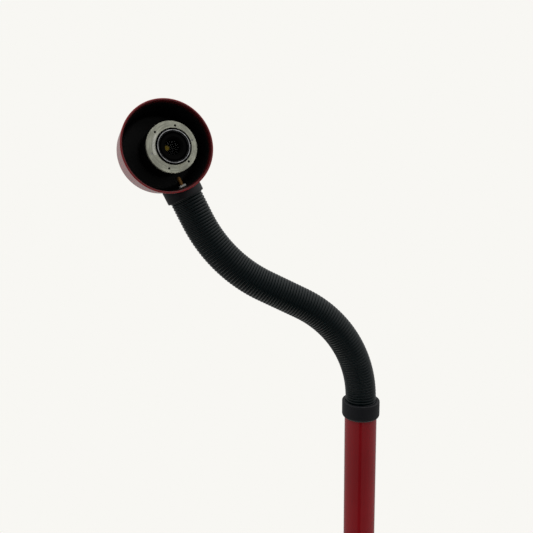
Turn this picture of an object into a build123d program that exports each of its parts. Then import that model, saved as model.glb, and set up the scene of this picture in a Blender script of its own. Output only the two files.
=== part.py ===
from build123d import *
from math import cos, pi, radians, sin, tan
import os

"""Webcam on a floor tripod.

A round can holds the camera module. A gooseneck carries the can, on top of a two-stage
pole that stands in a hub with three folding legs. Origin: on the floor, on the pole's
axis. +Z is up, +X is to the right and +Y is away from a person whom the camera faces.
"""

os.makedirs("parts", exist_ok=True)

# ---------------------------------------------------------------- driving dimensions (mm)
# Heights above the floor
collar_base_z = 1199.0     # lower edge of the collar at the top of the pole
lower_tube_top_z = 660.0   # top of the fixed pole tube
lower_tube_foot_z = 150.0  # bottom of the fixed pole tube
leg_pivot_z = 172.0        # leg pivots

# Pole
upper_tube_r = 17.0
lower_tube_r = 20.0
tube_wall = 1.5
pole_travel = 380.0        # how far the upper tube slides down into the lower one
plug_grip = 100.0          # length of upper tube inside the lower one when pulled out

# Gooseneck: its centre line lies in one upright plane
neck_plane_deg = 8.0       # the plane is turned this far about the pole, from -X to -Y
conduit_r = 16.1
conduit_bore_r = 13.2
neck_base_height = 15.0    # start of the centre line, above collar_base_z
neck_lean_deg = 2.0        # lean of the centre line as it leaves the collar
lower_run = 10.0
lower_bend_r = 121.0
lower_bend_deg = 60.0
middle_run = 42.0
upper_bend_r = 147.0
upper_bend_deg = 37.4
upper_run = 24.0
hinge_count = 8
first_hinge = 24.0         # distance along the centre line
hinge_pitch = 36.0
hinge_limit_deg = 18.0

# Can and upper collar
can_rim_r = 42.6
can_back_r = 38.7
can_depth = 47.6
can_wall = 2.0
rim_forward = 24.4         # rim plane, in front of the neck's axis
can_turn_deg = 17.0        # turn of the can about the neck's axis
collar_reach = 49.0        # can's axis to the upper collar's lower edge
upper_collar_r = 18.4

# Camera module, off the can's centre
module_across = 2.9
module_along_neck = -2.2
lens_across = 1.7          # lens, off the module's centre
lens_along_neck = -0.2
flange_r = 23.4
flange_bore_r = 16.5
flange_hole_pcd_r = 19.6
flange_hole_r = 1.05
flange_hole_start_deg = 54.0
lens_forward = 0.6         # lens front, in front of the flange

# Tripod
leg_count = 3
leg_azimuth_deg = 188.0    # the first leg runs under the can
leg_pivot_r = 48.0
leg_slope_deg = 30.0
leg_tube_r = 11.0
leg_reach = 322.0          # pivot to the middle of the foot's sole
hub_r = 33.0

# Fits
clear = 0.3                # between curved faces of different bodies
running = 0.06             # radial, between a pin or ball and its hole
seat = 0.02                # radial, between pieces that are fixed together


# ---------------------------------------------------------------- small helpers
def rod(radius, start, end):
    """Upright cylinder from height start to height end."""
    return Pos(0, 0, start) * Cylinder(radius, end - start, align=(Align.CENTER, Align.CENTER, Align.MIN))


def pipe(outer, inner, start, end):
    """Upright tube."""
    return rod(outer, start, end) - rod(inner, start - 1, end + 1)


def block(x, y, z):
    """Box given by its three (low, high) pairs."""
    low = Align.MIN
    return Pos(x[0], y[0], z[0]) * Box(x[1] - x[0], y[1] - y[0], z[1] - z[0], align=(low, low, low))


def tapered(low_r, high_r, start, end):
    """Upright cone frustum."""
    return Pos(0, 0, start) * Cone(low_r, high_r, end - start, align=(Align.CENTER, Align.CENTER, Align.MIN))


def ring_of(piece, count, radius, first_deg=0.0):
    """Copies of a piece, evenly spaced on a circle about Z."""
    step = 360 / count
    return [Rot(0, 0, first_deg + i * step) * Pos(radius, 0, 0) * piece for i in range(count)]


def round_edges(solid, radius, low, high):
    """Fillet the circular edges whose height lies between low and high."""
    edges = [e for e in solid.edges().filter_by(GeomType.CIRCLE) if low < e.center().Z < high]
    return fillet(edges, radius)


def save(name, piece):
    """Write one node; a list of separate solids becomes one compound."""
    if isinstance(piece, (list, ShapeList)):
        piece = Compound(children=[p for part in piece for p in part.solids()])
    export_step(piece, f"parts/{name}.step")


# ---------------------------------------------------------------- the neck's centre line
neck_runs = [
    (lower_run, 0.0),
    (lower_bend_r * radians(lower_bend_deg), -1 / lower_bend_r),
    (middle_run, 0.0),
    (upper_bend_r * radians(upper_bend_deg), 1 / upper_bend_r),
    (upper_run, 0.0),
]
neck_length = sum(length for length, _ in neck_runs)
neck_side = Vector(-sin(radians(neck_plane_deg)), cos(radians(neck_plane_deg)), 0)


def in_row(reach, height):
    """Point of the neck's plane, as a point of the row frame."""
    turn = radians(neck_plane_deg)
    return Vector(-reach * cos(turn), -reach * sin(turn), collar_base_z + height)


def neck_state(distance):
    """Reach, height and heading (radians above level) at a distance along the centre line."""
    reach, height = 0.0, neck_base_height
    heading = pi / 2 - radians(neck_lean_deg)
    left = distance
    for index, (length, curvature) in enumerate(neck_runs):
        last = index == len(neck_runs) - 1
        step = left if last else min(left, length)
        if curvature:
            new = heading + curvature * step
            reach += (sin(new) - sin(heading)) / curvature
            height += (cos(heading) - cos(new)) / curvature
            heading = new
        else:
            reach += step * cos(heading)
            height += step * sin(heading)
        left -= step
        if left <= 0:
            break
    return reach, height, heading


def neck_point(distance):
    reach, height, _ = neck_state(distance)
    return in_row(reach, height)


def neck_direction(distance):
    heading = neck_state(distance)[2]
    return (in_row(cos(heading), sin(heading)) - in_row(0, 0)).normalized()


def neck_path(start, end):
    """Centre line between two distances, as tangent lines and arcs."""
    shortest = 0.5
    marks = [start]
    total = 0.0
    for length, _ in neck_runs:
        total += length
        if start + shortest < total < end - shortest:
            marks.append(total)
    marks.append(end)
    edges = []
    for a, b in zip(marks, marks[1:]):
        straight = abs(neck_state(a)[2] - neck_state(b)[2]) < 1e-9
        if straight:
            edges.append(Edge.make_line(neck_point(a), neck_point(b)))
        else:
            edges.append(Edge.make_three_point_arc(neck_point(a), neck_point((a + b) / 2), neck_point(b)))
    return Wire(edges)


# ---------------------------------------------------------------- gooseneck
hinges = [first_hinge + i * hinge_pitch for i in range(hinge_count)]
half_gap = conduit_r * tan(radians(hinge_limit_deg / 2)) + clear + 0.1  # conduit's end to the hinge
conduit_foot = 0.5         # ends of the conduit and the arm, along the centre line
arm_foot = 2.0
conduit_grip = 6.0         # how far each runs into the upper collar
arm_grip = 8.0

ball_r = 8.0
socket_r = 10.2
stem_r = 4.0
lead_bore_r = 2.0
socket_rim = 3.2           # how far the socket's rim rises past the ball's centre


def conduit(start, end):
    """One stretch of the outer conduit."""
    path = neck_path(start, end)
    face = Plane(origin=neck_point(start), z_dir=neck_direction(start))
    section = face * (Circle(conduit_r) - Circle(conduit_bore_r))
    return sweep(sections=section, path=path)


def arm_link(start, end, ball, socket):
    """One hollow link of the inner arm: a stem, with a ball below and a socket above."""
    a, b = neck_point(start), neck_point(end)
    length = (b - a).length
    link = rod(stem_r, 0, length - (ball_r if socket else 0))
    if ball:
        link += Sphere(ball_r)
    if socket:
        above_rim = rod(2 * socket_r, socket_rim, 2 * socket_r)
        link += Pos(0, 0, length) * (Sphere(socket_r) - Sphere(ball_r + running) - above_rim)
    link -= rod(lead_bore_r, -2 * socket_r, length + 2 * socket_r)
    return Plane(origin=a, x_dir=neck_side, z_dir=(b - a).normalized()).location * link


conduit_ends = [conduit_foot] + hinges + [neck_length + conduit_grip]
for i in range(hinge_count + 1):
    low = conduit_ends[i] + (half_gap if i > 0 else 0)
    high = conduit_ends[i + 1] - (half_gap if i < hinge_count else 0)
    save(f"conduit_{i + 1}", conduit(low, high))

arm_marks = [arm_foot] + hinges + [neck_length + arm_grip]
for i in range(hinge_count + 1):
    link = arm_link(arm_marks[i], arm_marks[i + 1], ball=i > 0, socket=i < hinge_count)
    save(f"arm_link_{i + 1}", link)

# ---------------------------------------------------------------- lower collar and pole
collar_height = 18.0
collar_r = 19.9
pole_seat = 13.0           # depth of the pole in the collar
pole_top_z = collar_base_z + pole_seat
inner_tube_r = upper_tube_r - tube_wall
mouth_clear = 0.6          # radial, between the conduit and the lower collar's mouth
plug_depth = 36.0          # plug in the pole's top, with a short neck that seats the arm
plug_neck_r = 9.0
plug_neck = 3.0

lower_collar = rod(collar_r, 0, collar_height)
lower_collar = round_edges(lower_collar, 3.0, -1, 1)
lower_collar = round_edges(lower_collar, 1.2, collar_height - 1, collar_height + 1)
lower_collar -= rod(upper_tube_r + seat, -1, pole_seat)
lower_collar -= rod(conduit_r + mouth_clear, pole_seat - 1, collar_height + 1)
save("lower_collar", Pos(0, 0, collar_base_z) * lower_collar)

pole_plug = rod(inner_tube_r - seat, -plug_depth, 0) + rod(plug_neck_r, -1, plug_neck)
pole_plug -= rod(lead_bore_r + 1, -plug_depth - 1, plug_neck + 1)
arm_seat = Plane(origin=neck_point(arm_foot), z_dir=neck_direction(arm_foot)).location
pole_plug = Pos(0, 0, pole_top_z) * pole_plug - arm_seat * rod(stem_r + seat, -seat, plug_depth)
save("pole_plug", pole_plug)

upper_tube_foot_z = lower_tube_top_z - plug_grip
save("upper_tube", pipe(upper_tube_r, inner_tube_r, upper_tube_foot_z, pole_top_z))

lower_bore_r = lower_tube_r - tube_wall
slide_depth, slide_head = 20.0, 8.0
slide_plug = rod(inner_tube_r - seat, 0, slide_depth) + rod(lower_bore_r - running, -slide_head, 0)
slide_plug -= rod(6, -slide_head - 1, slide_depth + 1)
save("slide_plug", Pos(0, 0, upper_tube_foot_z) * slide_plug)

save("lower_tube", pipe(lower_tube_r, lower_bore_r, lower_tube_foot_z, lower_tube_top_z))

bush_depth, bush_lip = 30.0, 2.0
bush = pipe(lower_bore_r - seat, upper_tube_r + running, -bush_depth, bush_lip)
bush += pipe(lower_tube_r - 0.2, upper_tube_r + running, seat, bush_lip)
save("tube_bush", Pos(0, 0, lower_tube_top_z) * bush)

# ---------------------------------------------------------------- pole clamp and its knob
clamp_r = 27.0
clamp_low = -26.0
clamp_high = 24.0
screw_height = 13.0
boss_r, boss_end = 10.0, 42.0
screw_r = 4.0
clamp_body = rod(clamp_r, clamp_low, clamp_high)
clamp_body = round_edges(clamp_body, 2.5, clamp_low - 1, clamp_high + 1)
across = Pos(0, 0, screw_height) * Rot(0, 90, 0)
clamp_body += across * rod(boss_r, lower_tube_r, boss_end)
clamp_body -= rod(lower_tube_r + seat, clamp_low - 1, bush_lip + 0.2)
clamp_body -= rod(upper_tube_r + running, 1, clamp_high + 1)
clamp_body -= across * rod(screw_r + running, upper_tube_r - 2, boss_end + 1)
at_clamp = Pos(0, 0, lower_tube_top_z) * Rot(0, 0, 20)
save("clamp_body", at_clamp * clamp_body)

knob_start = boss_end + 1.0
knob_end = knob_start + 22.0
knob_r, lobe_r, lobe_count = 13.0, 5.5, 6
screw_end = knob_end - 2.0
clamp_screw = rod(screw_r, upper_tube_r + clear, screw_end)
save("clamp_screw", at_clamp * across * clamp_screw)
clamp_knob = rod(knob_r, knob_start, knob_end)
clamp_knob += ring_of(rod(lobe_r, knob_start + 3, knob_end), lobe_count, knob_r)
clamp_knob -= rod(screw_r + seat, knob_start - 1, screw_end + seat)
save("clamp_knob", at_clamp * across * clamp_knob)

# ---------------------------------------------------------------- tripod hub
hub_low, hub_high = lower_tube_foot_z, 226.0
ear_inner = 7.4            # half the slot between a pair of ears
ear_wall = 6.0
ear_r = 14.0
pin_r = 4.0
leg_turns = [leg_azimuth_deg + 360 / leg_count * i for i in range(leg_count)]

hub = rod(hub_r, hub_low, hub_high)
hub = round_edges(hub, 4.0, hub_high - 1, hub_high + 1)
for turn in leg_turns:
    ear_width = ear_inner + ear_wall
    ears = block((0, leg_pivot_r), (-ear_width, ear_width), (leg_pivot_z - ear_r, leg_pivot_z + ear_r))
    ears += Pos(leg_pivot_r, ear_width, leg_pivot_z) * Rot(90, 0, 0) * rod(ear_r, 0, 2 * ear_width)
    ears -= block((hub_r, 2 * leg_pivot_r), (-ear_inner, ear_inner), (leg_pivot_z - 2 * ear_r, leg_pivot_z + 2 * ear_r))
    ears -= Pos(leg_pivot_r, 2 * ear_width, leg_pivot_z) * Rot(90, 0, 0) * rod(pin_r + seat, 0, 4 * ear_width)
    hub += Rot(0, 0, turn) * ears
hub -= rod(lower_tube_r + seat, hub_low - 1, hub_high + 1)
hub_screw_r, hub_screw_z = 3.0, 212.0
hub_screw_axis = Rot(0, 0, leg_azimuth_deg + 60) * Pos(0, 0, hub_screw_z) * Rot(0, 90, 0)
hub -= hub_screw_axis * rod(hub_screw_r + seat, lower_tube_r - 2, hub_r + 2)
save("tripod_hub", hub)
save("hub_screw", hub_screw_axis * (rod(hub_screw_r, lower_tube_r + seat, hub_r - 1)))

pin_head = 1.0
pin_half = ear_inner + ear_wall + pin_head
pin = Pos(leg_pivot_r, pin_half, leg_pivot_z) * Rot(90, 0, 0) * (
    rod(pin_r, pin_head / 2, 2 * pin_half) + rod(pin_r + 2, 0, pin_head - seat))
save("leg_pins", [Rot(0, 0, turn) * pin for turn in leg_turns])

# The foot of the pole: an end cap, and the gland that the camera's lead comes out of
cap_depth, cap_lip = 18.0, 10.0
gland_r, gland_nut_r = 8.0, 11.0
cap = rod(lower_bore_r - seat, -4, cap_depth) + rod(lower_tube_r, -cap_lip, -seat)
cap -= rod(gland_r + seat, -cap_lip - 1, cap_depth + 1)
at_foot = Pos(0, 0, lower_tube_foot_z)
save("pole_end_cap", at_foot * cap)
gland_bore_r = 3.4
gland = pipe(gland_r, gland_bore_r, -28, 10) + pipe(gland_nut_r, gland_bore_r, -16, -cap_lip - seat)
save("cable_gland", at_foot * gland)

# ---------------------------------------------------------------- legs
slope = radians(leg_slope_deg)
tongue_half = ear_inner - 0.3
tongue_r = 10.0
tube_start = 20.0          # distances along the leg, from its pivot
tube_end = 312.0
foot_start = 286.0
boot_end = leg_reach + 14.0
foot_r, boot_rounding = 14.5, 4.0
spigot_length = 28.0
nose_rise = 18.0


def leg_pieces(turn):
    """Leg tube, end fitting and rubber foot of one leg, at its spread position."""
    # In the leg's own frame the leg runs out along X from the pivot, level with it.
    flat = Rot(90, 0, 0)
    tongue = Pos(0, tongue_half, 0) * flat * rod(tongue_r, 0, 2 * tongue_half)
    tongue += block((0, tube_start - 1), (-tongue_half, tongue_half), (-tongue_r, tongue_r))
    along = Rot(0, 90, 0)
    tongue += along * rod(leg_tube_r, tube_start - 5, tube_start)
    tongue += along * rod(leg_tube_r - tube_wall - seat, tube_start - 1, tube_start + spigot_length)
    # The nose above the pivot meets the hub and stops the leg from spreading further.
    nose_back = -(leg_pivot_r - hub_r) + 0.1
    nose = block((nose_back, pin_r), (-tongue_half, tongue_half), (0, nose_rise))
    nose = Rot(0, -leg_slope_deg, 0) * nose
    tongue += nose
    tongue -= Pos(0, 2 * tongue_half, 0) * flat * rod(pin_r + running, 0, 4 * tongue_half)
    tube = along * pipe(leg_tube_r, leg_tube_r - tube_wall, tube_start + seat, tube_end)
    boot = along * rod(foot_r, foot_start, boot_end)
    boot = fillet(boot.edges().filter_by(GeomType.CIRCLE), boot_rounding)
    boot -= along * rod(leg_tube_r + seat, foot_start - 1, tube_end + seat)
    place = Rot(0, 0, turn) * Pos(leg_pivot_r, 0, leg_pivot_z) * Rot(0, leg_slope_deg, 0)
    boot = place * boot
    boot -= block((-2 * leg_reach, 2 * leg_reach), (-2 * leg_reach, 2 * leg_reach), (-leg_reach, 0))
    return place * tube, place * tongue, boot


for number, turn in enumerate(leg_turns, start=1):
    tube, tongue, boot = leg_pieces(turn)
    save(f"leg_tube_{number}", tube)
    save(f"leg_end_{number}", tongue)
    save(f"foot_{number}", boot)

# ---------------------------------------------------------------- the can's own frame
# Local Z is the can's axis, out of its mouth. Local Y runs up along the neck's axis.
neck_up = neck_direction(neck_length)
toward_viewer = Vector(0, 0, 0) - neck_side
level = neck_up.cross(toward_viewer)
turn = radians(can_turn_deg)
can_axis = toward_viewer * cos(turn) + level * sin(turn)
can_centre = neck_point(neck_length) + neck_up * collar_reach
can_frame = Plane(origin=can_centre, x_dir=neck_up.cross(can_axis), z_dir=can_axis).location


def save_in_can(name, piece):
    pieces = piece if isinstance(piece, (list, ShapeList)) else [piece]
    save(name, [can_frame * p for p in pieces])


can_back = rim_forward - can_depth
inner_back = can_back + can_wall
taper = (can_rim_r - can_back_r) / can_depth


def can_outer_r(z):
    return can_rim_r - taper * (rim_forward - z)


def can_body(offset, low, high):
    """Solid cone that follows the can's outside, moved outward by offset."""
    return tapered(can_outer_r(low) + offset, can_outer_r(high) + offset, low, high)


back_rounding = 6.0
rim_rounding = 0.9
outside = round_edges(can_body(0, can_back, rim_forward), back_rounding, can_back - 1, can_back + 1)
inside = can_body(-can_wall, inner_back, rim_forward + 5)
inside = round_edges(inside, back_rounding - can_wall, inner_back - 1, inner_back + 1)
head_shell = round_edges(outside - inside, rim_rounding, rim_forward - 0.1, rim_forward + 0.1)

# The collar hangs below the can; its axis is local Y.
down_neck = Rot(90, 0, 0)
spigot_r = 3.5
stud_r = 2.0
stud_forward = 6.5
wall_hole = (can_back_r - 8, can_rim_r + 8)   # reach of a cut through the can's wall
head_shell -= down_neck * rod(spigot_r + seat, *wall_hole)
head_shell -= Pos(0, 0, stud_forward) * down_neck * rod(stud_r + seat, *wall_hole)

# Three screws hold the camera housing to the can's back.
housing_screw_pcd_r = 14.0
housing_screw_r = 1.5
module = Pos(module_across, module_along_neck, 0)
housing_screw_count, housing_screw_turn = 3, 30.0


def at_housing_screws(piece):
    return ring_of(piece, housing_screw_count, housing_screw_pcd_r, housing_screw_turn)


screw_holes = at_housing_screws(rod(housing_screw_r + seat, can_back - 5, inner_back + 5))
head_shell -= [module * hole for hole in screw_holes]
save_in_can("head_shell", head_shell)

# ---------------------------------------------------------------- upper collar, stud and pad
collar_floor = collar_reach - 6.2
arm_seat_depth = 8.02
saddle_gap = 0.03
upper_collar = rod(upper_collar_r, collar_reach / 2, collar_reach)
upper_collar = round_edges(upper_collar, 1.2, collar_reach - 1, collar_reach + 1)
upper_collar -= rod(conduit_r + clear, collar_floor, collar_reach + 1)
upper_collar = down_neck * upper_collar - can_body(saddle_gap, can_back - 5, rim_forward + 20)
upper_collar += down_neck * rod(spigot_r, can_outer_r(0) - can_wall, collar_floor)
upper_collar -= down_neck * rod(lead_bore_r, can_back_r - 8, collar_reach + 1)
upper_collar -= down_neck * rod(stem_r + seat, collar_reach - arm_seat_depth, collar_reach + 1)
upper_collar -= Pos(0, 0, stud_forward) * down_neck * rod(stud_r + seat, can_back_r - 8, collar_floor - 0.8)
save_in_can("upper_collar", upper_collar)

stud_inner = 29.0
brass_stud = Pos(0, 0, stud_forward) * down_neck * rod(stud_r, stud_inner, collar_floor - 0.82)
slot_depth, slot_half = 1.2, 0.5
slot = block((-3, 3), (-stud_inner - slot_depth, -stud_inner + 1), (stud_forward - slot_half, stud_forward + slot_half))
save_in_can("brass_stud", brass_stud - slot)

pad = block((-3.0, 3.0), (-38.5, -36.8), (3.9, 9.6))
pad -= Pos(0, 0, stud_forward) * down_neck * rod(stud_r + seat, *wall_hole)
save_in_can("nylon_pad", pad)

# ---------------------------------------------------------------- camera housing and flange
housing_r = 22.6
housing_bore_r = 20.8
housing_back = -13.0
housing_floor = 3.0
plinth_r = 18.0
flange_back = rim_forward - 4.0
clamp_ring_low = flange_back - 6.0
housing = rod(housing_r, housing_back, flange_back)
housing -= rod(housing_bore_r, housing_back + housing_floor, flange_back + 1)
housing += rod(plinth_r, inner_back + seat, housing_back)
foot_screw_end = housing_back - 1.0
housing -= at_housing_screws(rod(housing_screw_r + seat, can_back - 5, foot_screw_end + seat))
board_z, board_thick = -4.0, 1.6
board_screw_r = 1.1
board_corners = [(x, y) for x in (-10.5, 10.5) for y in (-10.5, 10.5)]
for x, y in board_corners:
    housing += Pos(x, y, 0) * pipe(2 * board_screw_r, board_screw_r, housing_back + housing_floor - 0.1, board_z - seat)
save_in_can("camera_housing", module * housing)

screw_head_r, screw_head = 2.8, 1.9
hex_socket = Pos(0, 0, can_back - screw_head - 0.2) * extrude(RegularPolygon(1.3, 6), 1.2)
screw = rod(housing_screw_r, can_back - 1, foot_screw_end) + rod(screw_head_r, can_back - screw_head, can_back - seat)
save_in_can("housing_screws", [module * s for s in at_housing_screws(screw - hex_socket)])

lens = Pos(lens_across, lens_along_neck, 0)
in_lens = module * lens
flange = rod(flange_r, flange_back + seat, rim_forward) - lens * rod(flange_bore_r, flange_back - 1, rim_forward + 1)
flange = chamfer([e for e in flange.edges().filter_by(GeomType.CIRCLE) if e.center().Z > rim_forward - 0.1], 0.4)
flange_holes = ring_of(rod(flange_hole_r, 0, rim_forward + 1), 6, flange_hole_pcd_r, flange_hole_start_deg)
flange -= flange_holes
save_in_can("flange_ring", module * flange)

# Two of the six holes carry screws; the other four are tapped holes left open.
fixing = rod(flange_hole_r - seat, flange_back - 3, rim_forward - 0.3)
fixing -= block((-2, 2), (-0.2, 0.2), (rim_forward - 0.9, rim_forward))
fixings = ring_of(fixing, 6, flange_hole_pcd_r, flange_hole_start_deg)[2::3]
clamp_ring = rod(housing_bore_r - seat, clamp_ring_low, flange_back)
clamp_ring -= lens * rod(flange_bore_r, clamp_ring_low - 1, flange_back + 1)
clamp_ring -= flange_holes
save_in_can("flange_screws", [module * f for f in fixings])
save_in_can("clamp_ring", module * clamp_ring)

# ---------------------------------------------------------------- sensor board
board_half = 13.0
board_top = board_z + board_thick
board = block((-board_half, board_half), (-board_half, board_half), (board_z, board_top))
board -= [Pos(x, y, 0) * rod(board_screw_r, board_z - 1, board_top + 1) for x, y in board_corners]
save_in_can("sensor_board", module * board)
sensor = block((-4.5, 4.5), (-4, 4), (board_top + seat, board_top + 1.6))
save_in_can("image_sensor", in_lens * sensor)
board_screw = rod(board_screw_r - seat, housing_back + 4, board_top + 1.2) + rod(1.9, board_top + seat, board_top + 1.2)
save_in_can("board_screws", [module * Pos(x, y, 0) * board_screw for x, y in board_corners])

# ---------------------------------------------------------------- lens
# The barrel's flange is held between the housing and the clamp ring. The front ring and the
# focus ring are one screwed pair, and turn together on the barrel.
lens_front = rim_forward + lens_forward
barrel_r = 11.6
barrel_bore_r = 9.0
barrel_foot = 2.0
barrel_flange_r = 18.0
focus_r = 14.5
front_ring_r = 15.1
front_ring_back = lens_front - 1.7
mouth_depth = 1.0          # depth of the front ring's conical mouth

barrel = pipe(barrel_r, barrel_bore_r, barrel_foot, lens_front - mouth_depth)
barrel += pipe(focus_r, barrel_bore_r, 6.0, 15.0)
barrel += pipe(barrel_r, 5.0, barrel_foot, 4.0)
barrel += pipe(barrel_flange_r, barrel_r - 1, 11.0, clamp_ring_low - seat)
save_in_can("lens_barrel", in_lens * barrel)

focus_low, focus_high = 15.3, front_ring_back - seat
focus_ring = pipe(focus_r, barrel_r + running, focus_low, focus_high)
grip_cut = rod(0.8, focus_low + 1.5, focus_high - 1.5)
focus_ring -= ring_of(grip_cut, 36, focus_r + 0.45)
save_in_can("focus_ring", in_lens * focus_ring)

front_ring = pipe(front_ring_r, barrel_r - 1, front_ring_back, lens_front)
front_ring -= tapered(barrel_r - 1, 13.6, lens_front - mouth_depth, lens_front + 0.01)
front_ring -= rod(barrel_r + running, front_ring_back - 1, lens_front - mouth_depth + running)
save_in_can("lens_front_ring", in_lens * front_ring)

baffle_low, baffle_high = lens_front - 6.0, lens_front - 1.4
baffle = rod(barrel_bore_r - seat, baffle_low, baffle_high)
baffle -= tapered(6.2, 8.4, baffle_low - 0.01, baffle_high + 0.01)
save_in_can("lens_baffle", in_lens * baffle)

dome_r = 14.0
dome_rise = 3.2
front_z = baffle_low - 0.05
glass_edge = front_z - 2.4
dome = Pos(0, 0, glass_edge - (dome_r - dome_rise)) * Sphere(dome_r)
front_glass = rod(barrel_bore_r - seat, front_z - 4.0, front_z)
front_glass = front_glass & (dome + rod(barrel_bore_r + 0.5, front_z - 5, glass_edge))
save_in_can("front_element", in_lens * front_glass)

save_in_can("iris_plate", in_lens * pipe(barrel_bore_r - seat, 6.5, 12.0, 13.0))
save_in_can("rear_element", in_lens * rod(barrel_bore_r - 0.1, 7.0, 11.0))
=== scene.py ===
import math

import bmesh
import bpy
import numpy as np
from mathutils import Matrix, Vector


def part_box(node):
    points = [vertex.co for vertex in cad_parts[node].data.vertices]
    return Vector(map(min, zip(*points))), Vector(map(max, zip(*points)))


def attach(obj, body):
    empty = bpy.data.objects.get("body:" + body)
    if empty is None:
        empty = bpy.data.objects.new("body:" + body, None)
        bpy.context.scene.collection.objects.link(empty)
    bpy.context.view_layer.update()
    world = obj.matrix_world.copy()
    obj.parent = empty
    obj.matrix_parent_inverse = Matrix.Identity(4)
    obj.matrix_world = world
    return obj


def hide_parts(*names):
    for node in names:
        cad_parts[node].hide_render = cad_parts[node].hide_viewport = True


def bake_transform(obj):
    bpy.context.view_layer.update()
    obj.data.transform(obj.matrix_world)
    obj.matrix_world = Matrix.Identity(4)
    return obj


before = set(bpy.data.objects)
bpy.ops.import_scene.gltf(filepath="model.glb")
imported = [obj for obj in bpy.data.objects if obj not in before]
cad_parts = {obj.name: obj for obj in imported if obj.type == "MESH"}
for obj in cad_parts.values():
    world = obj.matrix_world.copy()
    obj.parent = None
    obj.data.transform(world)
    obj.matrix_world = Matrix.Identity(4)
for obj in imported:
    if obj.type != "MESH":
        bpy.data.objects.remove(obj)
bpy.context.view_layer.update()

bl_info = {
    "name": "Gooseneck webcam on a floor tripod",
    "version": (1, 0, 0),
    "blender": (4, 5, 0),
    "location": "View3D > Sidebar > Webcam",
    "description": "Builds the looks of a can-shaped webcam on a ribbed gooseneck and a folding stand",
    "category": "Object",
}

# ---------------------------------------------------------------- sizes shared with the solids (m)
COLLAR_BASE = 1.199
NECK_PLANE = math.radians(8.0)
NECK_START = 0.015
NECK_LEAN = math.radians(2.0)
NECK_RUNS = (
    (0.010, 0.0),
    (0.121 * math.radians(60.0), -1 / 0.121),
    (0.042, 0.0),
    (0.147 * math.radians(37.4), 1 / 0.147),
    (0.024, 0.0),
)
NECK_LENGTH = sum(length for length, _ in NECK_RUNS)
FIRST_HINGE, HINGE_PITCH, HINGE_COUNT = 0.024, 0.036, 8
CAN_TURN = math.radians(17.0)
COLLAR_REACH = 0.049
RIM_FORWARD = 0.0244
CAN_RIM_R, CAN_BACK_R, CAN_DEPTH = 0.0426, 0.0387, 0.0476
CAN_TAPER = (CAN_RIM_R - CAN_BACK_R) / CAN_DEPTH
# Offsets across the axis: the flange in the can's frame, and the lens in the flange's.
MODULE = (0.0029, -0.0022)
LENS_SHIFT = (0.0017, -0.0002)
LENS_FRONT = 0.0250
LOWER_COLLAR_R, LOWER_COLLAR_HEIGHT = 0.0199, 0.018
UPPER_COLLAR_R = 0.0184
CONDUIT_BORE_R = 0.0134
SKIN_GAP = 0.00004
CAN_WALL = 0.002
TUBE_WALL = 0.0015
COLLAR_MOUTH_R = 0.0163
COLLAR_TUBE_R = 0.0171
COLLAR_SHELF = 0.013
SLEEVE_START, SLEEVE_PAST_END = 0.0005, 0.006
GRIP_BORE_R, GRIP_R, GRIP_BACK = 0.0117, 0.0145, 0.0153
FLUTE_COUNT, FLUTE_DEPTH = 36, 0.0004
GLASS_RIM_R = 0.0089
NECK_POINTS_ROUND = 96

# ---------------------------------------------------------------- marks on the pieces, in the lens's frame: a painted amber reflection on the rear glass, and the angle of a painted glint on the flange
# place and radius of the painted amber reflection on the rear glass
AMBER_REFLECTION = (-0.0030, 0.0017)
AMBER_REFLECTION_R = 0.0025
# angle round the lens of the painted glint on the flange
GLINT_ANGLE = 2.75

# ---------------------------------------------------------------- studio: light strengths, and the camera
FRONT_LIGHT, SIDE_LIGHT, BACK_LIGHT, TOP_LIGHT = 0.22, 0.41, 0.29, 0.66
ZENITH_LIGHT = 1.15
GAP_TURN = 0.165
GAP_OUTER, GAP_INNER = 0.19, 0.12
FLOOR_SHADE = 0.55
FLOOR_R = 1.3
FLOOR_DROP = 0.0006
CAMERA_LENS = 37.82
CAMERA_PITCH = math.radians(10.465)
CAMERA_ROLL = math.radians(-0.968)
CAMERA_PLACE = (-0.0986, -0.5637, 1.4677)


# ---------------------------------------------------------------- the neck's centre line
def neck_plane_point(reach, height):
    """Points of the neck's upright plane: reach sideways from the pole's axis, height above the collar."""
    reach, height = np.asarray(reach, float), np.asarray(height, float)
    x = -reach * math.cos(NECK_PLANE)
    y = -reach * math.sin(NECK_PLANE)
    return np.stack([x, y, COLLAR_BASE + height], axis=-1)


def neck_line(distance):
    """Points and unit directions at distances along the centre line.

    The line is straight stretches joined by tangent arcs: on each stretch the heading changes by
    its curvature times the distance, and the point moves by the integral of the heading.
    """
    distance = np.asarray(distance, float)
    reach, height = np.zeros_like(distance), np.full_like(distance, NECK_START)
    heading = np.full_like(distance, math.pi / 2 - NECK_LEAN)
    left = distance.copy()
    for index, (length, curvature) in enumerate(NECK_RUNS):
        low = -1.0 if index == 0 else 0.0
        high = 1.0 if index == len(NECK_RUNS) - 1 else length
        step = np.clip(left, low, high)
        if curvature:
            new = heading + curvature * step
            reach = reach + (np.sin(new) - np.sin(heading)) / curvature
            height = height + (np.cos(heading) - np.cos(new)) / curvature
            heading = new
        else:
            reach = reach + step * np.cos(heading)
            height = height + step * np.sin(heading)
        left = np.maximum(left - length, 0.0)
    points = neck_plane_point(reach, height)
    directions = neck_plane_point(np.cos(heading), np.sin(heading)) - neck_plane_point(0.0, 0.0)
    return points, directions


NECK_SIDE = np.array([-math.sin(NECK_PLANE), math.cos(NECK_PLANE), 0.0])


# ---------------------------------------------------------------- frames of the pieces
def frame_matrix(origin, x_axis, z_axis):
    """4x4 matrix that takes a piece's own coordinates to the object's."""
    z = np.asarray(z_axis, float) / np.linalg.norm(z_axis)
    x = np.asarray(x_axis, float) - z * np.dot(x_axis, z)
    x = x / np.linalg.norm(x)
    matrix = np.eye(4)
    matrix[:3, 0], matrix[:3, 1], matrix[:3, 2] = x, np.cross(z, x), z
    matrix[:3, 3] = origin
    return matrix


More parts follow.
